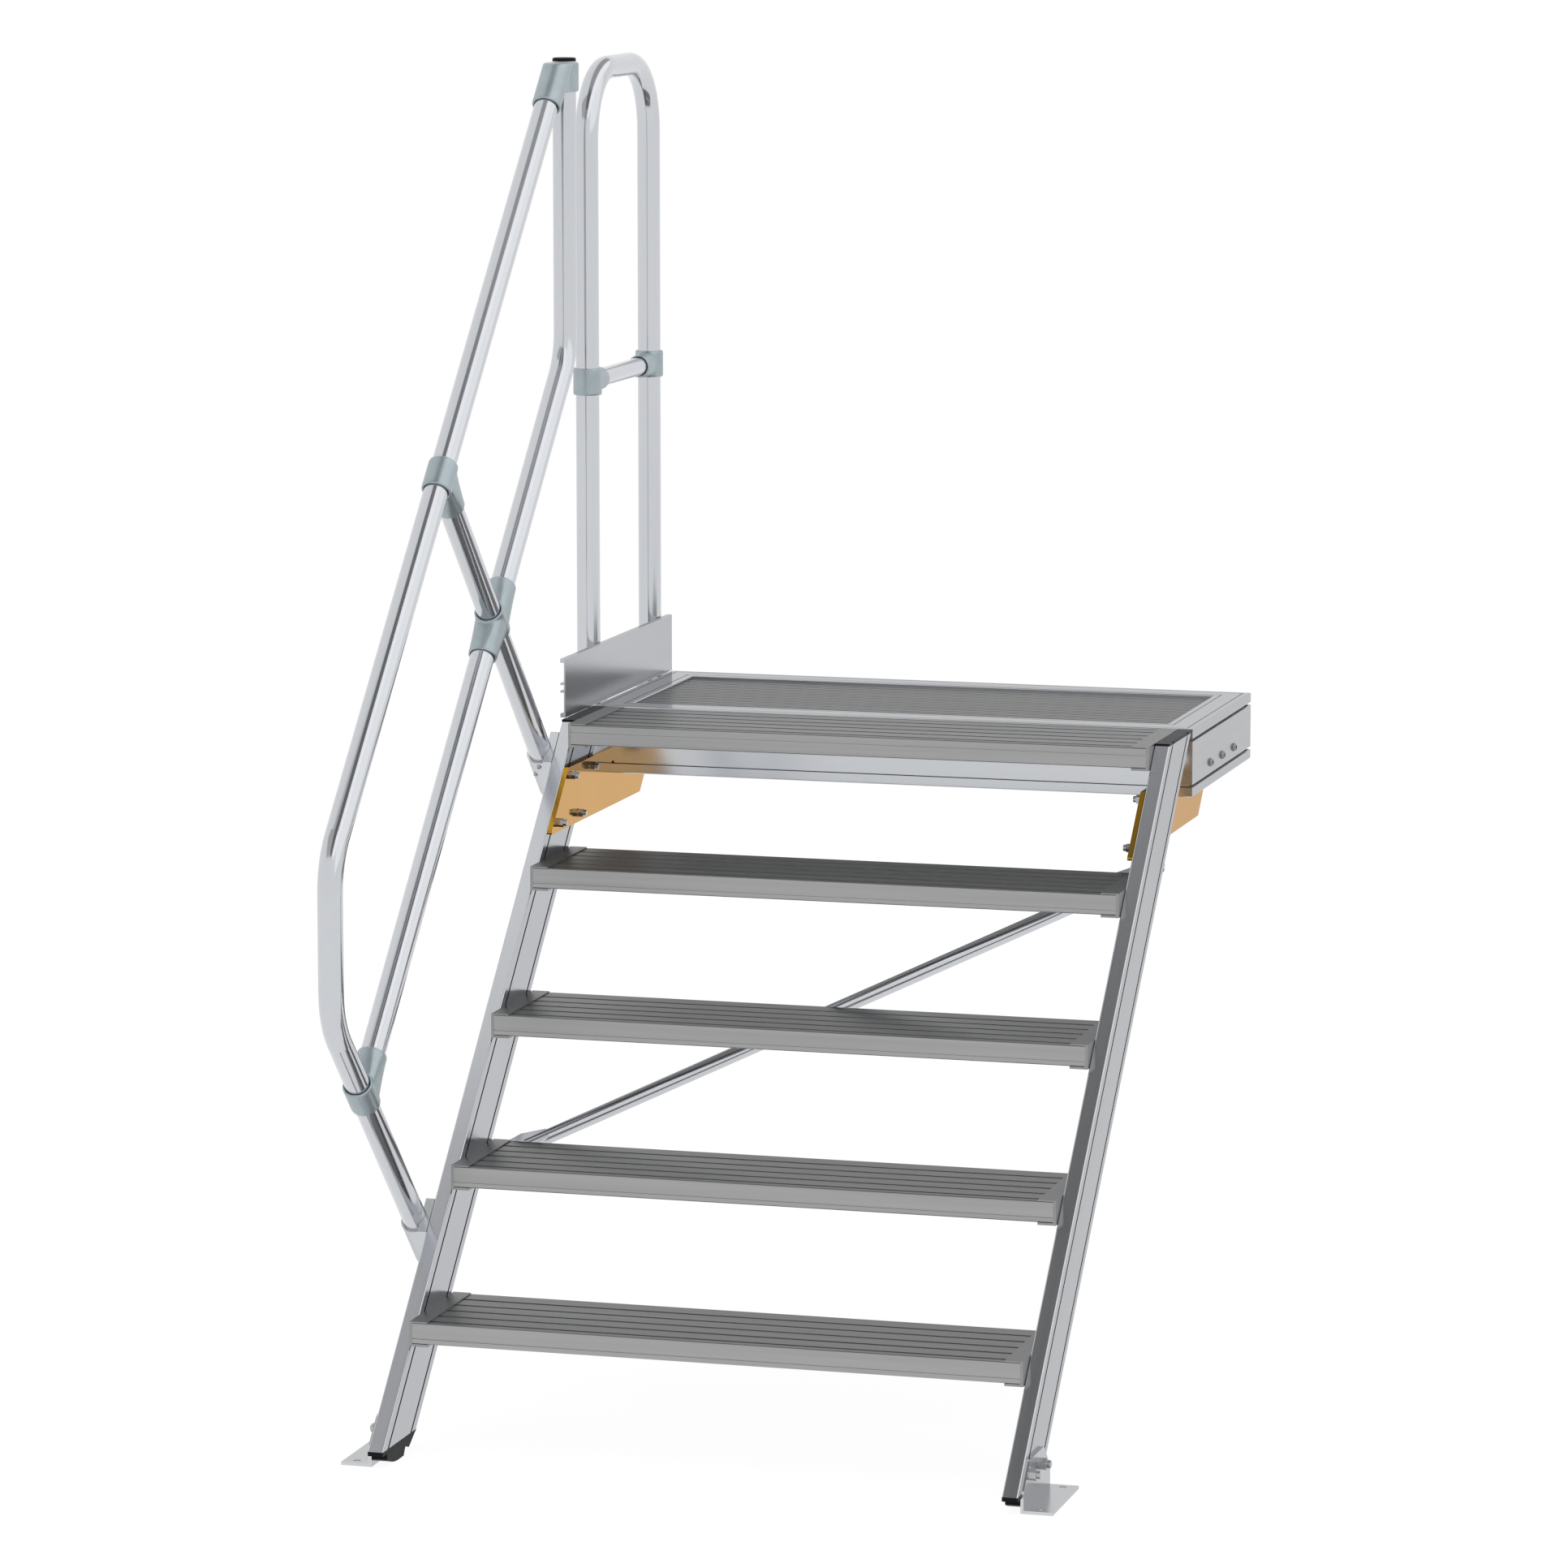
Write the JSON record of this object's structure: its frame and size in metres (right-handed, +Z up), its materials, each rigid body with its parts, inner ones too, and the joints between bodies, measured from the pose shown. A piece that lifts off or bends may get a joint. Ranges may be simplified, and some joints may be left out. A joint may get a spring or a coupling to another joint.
{
  "type": "aluminium stair with platform",
  "caption": "Straight aluminium stair at 45 degrees with ribbed treads, a landing platform, and a tubular handrail, hoop and toe board on its left side.",
  "frame": {"origin": "on the floor, under the middle of the right foot bracket's floor flange", "axes": "+Z up, +Y the way a person climbs, +X to the climber's right"},
  "size_m": [1.1548, 1.7465, 2.157],
  "materials": {
    "frame_aluminium": "satin anodised extrusion",
    "ribbed_aluminium": "ribbed mill finish",
    "cap_aluminium": "satin",
    "tube_aluminium": "drawn bright",
    "clamp_casting": "matt cast",
    "bracket_aluminium": "satin",
    "painted_plate": "semi-gloss paint",
    "black_plastic": "moulded"
  },
  "bodies": {
    "root": {"diagonal_brace": "tube_aluminium", "handrail": "tube_aluminium", "handrail_clamp": "clamp_casting", "hoop": "tube_aluminium", "hoop_front_bracket": "clamp_casting", "hoop_front_clamp": "clamp_casting", "hoop_knee_bar": "tube_aluminium", "hoop_rear_bracket": "clamp_casting", "hoop_rear_clamp": "clamp_casting", "knee_rail": "tube_aluminium", "knee_rail_clamp": "clamp_casting", "left_foot": "black_plastic", "left_foot_bracket": "bracket_aluminium", "left_joining_plate": "painted_plate", "left_stringer": "frame_aluminium", "left_top_cap": "black_plastic", "left_tread_caps": "cap_aluminium", "lower_clamp": "clamp_casting", "lower_knee_rail": "tube_aluminium", "lower_rail_bracket": "clamp_casting", "lower_strut": "tube_aluminium", "platform_deck": "ribbed_aluminium", "platform_front_beam": "frame_aluminium", "platform_left_beam": "frame_aluminium", "platform_rear_beam": "frame_aluminium", "platform_right_beam": "frame_aluminium", "right_foot": "black_plastic", "right_foot_bracket": "bracket_aluminium", "right_joining_plate": "painted_plate", "right_stringer": "frame_aluminium", "right_top_cap": "black_plastic", "right_tread_caps": "cap_aluminium", "toe_board": "frame_aluminium", "top_elbow": "clamp_casting", "tread_1": "ribbed_aluminium", "tread_2": "ribbed_aluminium", "tread_3": "ribbed_aluminium", "tread_4": "ribbed_aluminium", "tread_5": "ribbed_aluminium", "upper_rail_bracket": "clamp_casting", "upper_strut": "tube_aluminium", "upright_cap": "black_plastic"}
  },
  "joints": []
}
